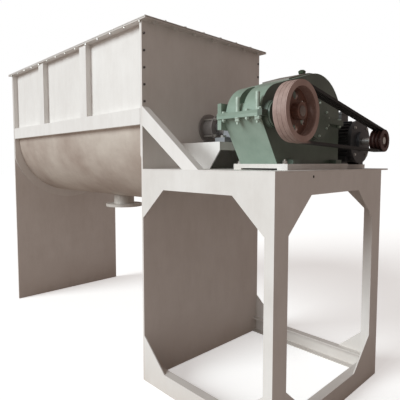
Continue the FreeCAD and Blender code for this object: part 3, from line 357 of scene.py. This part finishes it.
# ---- Drive stand ---------------------------------------------------------------------------------
# Channel frame with corner gussets, dirtier near the floor, a duller and more stained deck plate,
# and two brighter angle braces up to the end plate.  A dark disc on the end beam's face, 0.6 mm
# thick, is painted shade that stands for a small drilled hole.
dress(worn_finish("stand_paint", (0.80, 0.78, 0.75), (0.71, 0.68, 0.645), 0.42, stains=0.18, low_dirt=0.45,
                  dirt_top=0.3), "stand_beams", "stand_posts", "stand_gussets")
dress(worn_finish("deck_paint", (0.78, 0.76, 0.73), (0.65, 0.61, 0.57), 0.45, patch=3.5, stains=0.5),
      "stand_deck", "gearbox_rails", "motor_slide_rails")
dress(worn_finish("brace_paint", (0.86, 0.84, 0.81), (0.79, 0.765, 0.735), 0.4, stains=0.2),
      "diagonal_braces", "bearing_brackets")
# The disc's near-black colour is painted shade in place of the hole's depth.
hole_shade_paint = worn_finish("hole_shade_disc", (0.035, 0.03, 0.028), (0.015, 0.013, 0.012), 0.8, patch=30.0)
stand_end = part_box("stand_deck")[1][0]
hole_y, hole_z, hole_radius = -0.280, 1.167, 0.006
hole = bmesh.new()
bar(hole, (stand_end - 0.004, hole_y, hole_z), (stand_end + 0.0006, hole_y, hole_z), hole_radius, 20)
joined_piece("hole_shade_disc", hole, hole_shade_paint, "machine_frame")


# ---- Bearings and seals --------------------------------------------------------------------------
# Cast pillow blocks in grey enamel on welded shelves, each with a grease nipple on top, and a
# packed stuffing box with a bolted gland at both end plates.
dress(worn_finish("grey_enamel", (0.30, 0.31, 0.33), (0.20, 0.21, 0.22), 0.36, patch=5.0, grain=150.0,
                  bump=0.3, stains=0.3), "pillow_blocks")
dress(worn_finish("seal_casting", (0.34, 0.32, 0.31), (0.22, 0.20, 0.19), 0.4, 0.3, 6.0, 180.0, 0.3),
      "seal_housings", "seal_glands")
dress(zinc, "pillow_block_bolts")
dress(worn_finish("ground_race", (0.62, 0.63, 0.65), (0.45, 0.45, 0.46), 0.22, 0.95, 20.0, 260.0, 0.05,
                  (0.1, 1, 1)), "bearing_outer_rings", "bearing_inner_rings")
brass = worn_finish("brass_fitting", (0.72, 0.55, 0.26), (0.45, 0.33, 0.16), 0.3, 0.9, 40.0, 300.0)
block_low, block_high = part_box("pillow_blocks")
half_block = 0.036
nipples = bmesh.new()
for x in (block_low[0] + half_block, block_high[0] - half_block):
    top = Vector((x, (block_low[1] + block_high[1]) / 2, block_high[2]))
    sunk, hexagon_top, nipple_top = (top + Vector((0, 0, rise)) for rise in (-0.003, 0.006, 0.016))
    bar(nipples, sunk, hexagon_top, 0.006, 6)
    bar(nipples, hexagon_top, nipple_top, 0.0035, 12, 0.002)
joined_piece("grease_nipples", nipples, brass, "machine_frame")


# ---- Agitator and coupling -----------------------------------------------------------------------
# Ground stainless shaft with streaks along its length, bare arms and double ribbons, and a pin
# coupling in grey enamel between the shaft and the reducer.
dress(worn_finish("turned_shaft", (0.64, 0.64, 0.65), (0.46, 0.46, 0.47), 0.25, 0.95, 6.0, 220.0, 0.06,
                  (0.05, 1, 1)), "main_shaft")
dress(worn_finish("ribbon_bar", (0.60, 0.60, 0.61), (0.44, 0.44, 0.45), 0.32, 0.9, 5.0, 200.0, 0.1),
      "ribbon_arms", "outer_ribbons", "inner_ribbons")
dress(worn_finish("coupling_enamel", (0.27, 0.25, 0.25), (0.17, 0.15, 0.15), 0.38, patch=8.0, grain=160.0,
                  stains=0.35), "coupling_hubs")


# ---- Reducer -------------------------------------------------------------------------------------
# Two-part cast casing in green enamel: the upper half is darker, with brown stains, and both have
# painted shade on the faces towards the belts.  Studs and bolts stand on the split flange, screws
# round the bearing caps, a breather on top and two bolts on the rails.
def lay_over(mat, amount, scale, first, last, low=0.35, high=0.7):
    """Lays a second, uneven tone over a finish; amount makes the mask in the finish's own tree."""
    tree = mat.node_tree
    bsdf = tree.nodes["Principled BSDF"]
    under = bsdf.inputs["Base Color"].links[0].from_socket
    place = tree.nodes.new("ShaderNodeTexCoord").outputs["Object"]
    over = tone_ramp(tree, noise(tree, place, scale), low, high, first, last)
    tree.links.new(blend_colour(tree, amount(tree, place), under, over), bsdf.inputs["Base Color"])


def lighter(tone, factor):
    return tuple(factor * part for part in tone)


def shade_belt_side(mat, amount, tone):
    """Painted shade on the faces that look towards the belt drive."""
    flange_overhang = 0.023
    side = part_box("gearbox_cover")[1][0] - flange_overhang
    lay_over(mat, lambda tree, place: ramp_between(tree, coordinate(tree, place, "X"), side - 0.002,
                                                   side - 0.0002, 0.0, amount),
             7.0, tone, lighter(tone, 1.6))


green = worn_finish("green_enamel", (0.33, 0.42, 0.35), (0.22, 0.31, 0.25), 0.34, patch=4.0, grain=110.0,
                    bump=0.35, stain=(0.10, 0.12, 0.09), stains=0.35)
# Both greens get painted shade on their faces towards the belts.
shade_belt_side(green, 0.85, (0.055, 0.075, 0.055))
dress(green, "gearbox_lower_housing", "gearbox_bearing_caps")
top_green = worn_finish("dusty_green", (0.27, 0.36, 0.29), (0.17, 0.23, 0.18), 0.36, patch=4.5,
                        grain=110.0, bump=0.35, stain=(0.28, 0.22, 0.18), stains=0.6)
shade_belt_side(top_green, 0.8, (0.06, 0.075, 0.06))
dress(top_green, "gearbox_cover")
# The inspection plate on top is painted a dark brown-grey.
dress(worn_finish("dark_top_plate", (0.24, 0.22, 0.19), (0.14, 0.13, 0.11), 0.4, patch=7.0, stains=0.5),
      "inspection_plate")
pale_bolt = worn_finish("painted_bolt", (0.52, 0.62, 0.54), (0.34, 0.43, 0.36), 0.34, 0.1, 20.0, 200.0)
dress(pale_bolt, "gearbox_bolts")
dress(worn_finish("oiled_steel", (0.30, 0.25, 0.22), (0.14, 0.11, 0.10), 0.3, 0.8, 14.0, 220.0, 0.08),
      "gearbox_bearings", "output_shaft", "output_gear", "lay_shaft", "lay_gear", "input_shaft")
flange_low, flange_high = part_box("gearbox_cover")
split_z, flange_t = flange_low[2], 0.013
near = flange_low[1] + 0.011
stud_radius, stud_tip = 0.010, 0.006
stud_rows = ((1.2555, 0.062), (1.3655, 0.075))        # place along the machine, height
end_bolts_y, end_bolts_in = (-0.49, -0.37), 0.024
studs = bmesh.new()
for x, height in stud_rows:
    foot = Vector((x, near, split_z + flange_t))
    top = foot + Vector((0, 0, height))
    bar(studs, foot, top, stud_radius, 20)
    bar(studs, top, top + Vector((0, 0, 0.004)), stud_radius, 20, stud_tip)
    hexagon_bolt(studs, (x, near, split_z - flange_t), down, 0.021, 0.014, 0.003, 0.012)
for y in end_bolts_y:
    hexagon_bolt(studs, (flange_high[0] - end_bolts_in, y, split_z + flange_t), up, 0.018, 0.010)
joined_piece("flange_studs", studs, pale_bolt, "machine_frame")
caps = bmesh.new()
caps_low, caps_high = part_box("gearbox_bearing_caps")
# Shaft's place across the machine, radius of the circle of screws, and the side the cap is on.
screwed_caps = ((-0.060, 0.080, 1), (-0.290, 0.052, 1), (-0.410, 0.050, -1), (-0.290, 0.052, -1))
for y, radius, face in screwed_caps:
    x = caps_high[0] if face > 0 else caps_low[0]
    for k in range(6):
        angle = math.radians(60 * k + 30)
        hexagon_bolt(caps, (x, y + radius * math.cos(angle), split_z + radius * math.sin(angle)),
                     (face, 0, 0), *m6_head)
joined_piece("cap_screws", caps, pale_bolt, "machine_frame")
vent = bmesh.new()
vent_foot = Vector((1.2885, -0.032, 1.668))
neck_top, cap_edge, cap_top = (vent_foot + Vector((0, 0, rise)) for rise in (0.014, 0.026, 0.033))
bar(vent, vent_foot, neck_top, 0.008, 16)
bar(vent, neck_top, cap_edge, 0.017, 8, 0.020)
bar(vent, cap_edge, cap_top, 0.020, 24, 0.012)
cap_green = worn_finish("dark_green_cap", (0.07, 0.10, 0.06), (0.03, 0.05, 0.03), 0.35, patch=30.0)
joined_piece("breather_cap", vent, cap_green, "machine_frame")
rail_low, rail_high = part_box("gearbox_rails")
rail_bolts_x, rail_bolts_in = (1.1495, 1.4085), 0.014
feet = bmesh.new()
for x in rail_bolts_x:
    hexagon_bolt(feet, (x, rail_low[1] + rail_bolts_in, rail_high[2]), up, 0.019, 0.011, 0.003, 0.006)
joined_piece("rail_bolts", feet, zinc, "machine_frame")


# ---- Belt drive ----------------------------------------------------------------------------------
# The big cast pulley wears dusty red primer, with painted shade inside its rim; the motor's is brown.
# The three V-belts are black, and powdered with pinkish dust where they wrap the big pulley.
primer = worn_finish("dusty_primer", (0.47, 0.34, 0.30), (0.34, 0.22, 0.19), 0.55, patch=9.0, grain=140.0,
                     bump=0.3, stain=(0.12, 0.06, 0.05), stains=0.5)
pulley_low, pulley_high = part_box("driven_pulley")
pulley_middle = (Vector(pulley_low) + Vector(pulley_high)) / 2
pulley_radius = (pulley_high[1] - pulley_low[1]) / 2
rim_inside = 0.81 * pulley_radius


def shade_inside_rim(mat, centre, edge, tone):
    """Painted shade on a turned casting within a radius of its axis, over the dished web inside the rim."""
    def amount(tree, place):
        across = tree.nodes.new("ShaderNodeMapping")
        across.inputs["Location"].default_value = (0, -centre[1], -centre[2])
        across.inputs["Scale"].default_value = (0, 1, 1)
        tree.links.new(place, across.inputs["Vector"])
        length = tree.nodes.new("ShaderNodeVectorMath")
        length.operation = "LENGTH"
        tree.links.new(across.outputs[0], length.inputs[0])
        return ramp_between(tree, length.outputs["Value"], edge * 0.96, edge, 0.9, 0.0)
    lay_over(mat, amount, 24.0, tone, lighter(tone, 2.2), 0.35, 0.68)


# Painted shade darkens the big pulley's web inside its rim.
shade_inside_rim(primer, pulley_middle, rim_inside, (0.085, 0.035, 0.022))
dress(primer, "driven_pulley")
dress(worn_finish("brown_primer", (0.10, 0.045, 0.038), (0.065, 0.030, 0.026), 0.5, patch=14.0,
                  grain=160.0, stain=(0.05, 0.02, 0.02), stains=0.3), "motor_pulley")


def belt_finish(centre, radius):
    """Black rubber, dusty round the big pulley and clean on the way to the motor."""
    mat = worn_finish("dusty_belt", (0.022, 0.021, 0.020), (0.012, 0.012, 0.012), 0.6, patch=16.0,
                      grain=180.0, stain=(0.06, 0.05, 0.04), stains=0.4)
    dust_fades, dust_ends = centre + 0.25 * radius, centre + 0.6 * radius
    lay_over(mat, lambda tree, place: ramp_between(tree, coordinate(tree, place, "Y"), dust_fades,
                                                   dust_ends, 0.92, 0.0),
             30.0, (0.30, 0.20, 0.17), (0.42, 0.30, 0.26), 0.3, 0.7)
    return mat


dress(belt_finish(pulley_middle[1], pulley_radius), "v_belts")


# ---- Motor ---------------------------------------------------------------------------------------
# Foot-mounted squirrel-cage motor in dark grey enamel: finned frame, two end shields, a fan cowl
# at the back and a terminal box.  Bolts show on the pulley's side and on the box's lid.
motor_grey = worn_finish("motor_enamel", (0.060, 0.064, 0.070), (0.036, 0.038, 0.042), 0.38, patch=6.0,
                         grain=150.0, bump=0.25, stain=(0.10, 0.085, 0.07), stains=0.4)
dress(motor_grey, "motor_frame", "motor_end_shields")
dress(worn_finish("cowl_enamel", (0.070, 0.073, 0.080), (0.040, 0.042, 0.046), 0.34, patch=6.0), "fan_cowl")
dress(worn_finish("box_enamel", (0.13, 0.13, 0.13), (0.07, 0.07, 0.07), 0.4, patch=9.0), "terminal_box")
dress(zinc, "motor_rotor")
shield_low, shield_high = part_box("motor_end_shields")
box_low, box_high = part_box("terminal_box")
axis_y = (shield_low[1] + shield_high[1]) / 2
axis_z = (shield_low[2] + shield_high[2]) / 2
shield_face, screw_circle = shield_high[0] - 0.016, 0.106
screws = bmesh.new()
for k in range(4):
    angle = math.radians(45 + 90 * k)
    hexagon_bolt(screws, (shield_face, axis_y + screw_circle * math.cos(angle),
                          axis_z + screw_circle * math.sin(angle)), (1, 0, 0), 0.013, 0.007, 0.002)
lid_edge, lid_far = 0.012, 0.080
for x in (box_low[0] + lid_edge, box_high[0] - lid_edge):
    for y in (box_low[1] + lid_edge, box_low[1] + lid_far):
        hexagon_bolt(screws, (x, y, box_high[2]), up, 0.009, 0.004, 0.001)
joined_piece("motor_bolts", screws, zinc, "machine_frame")
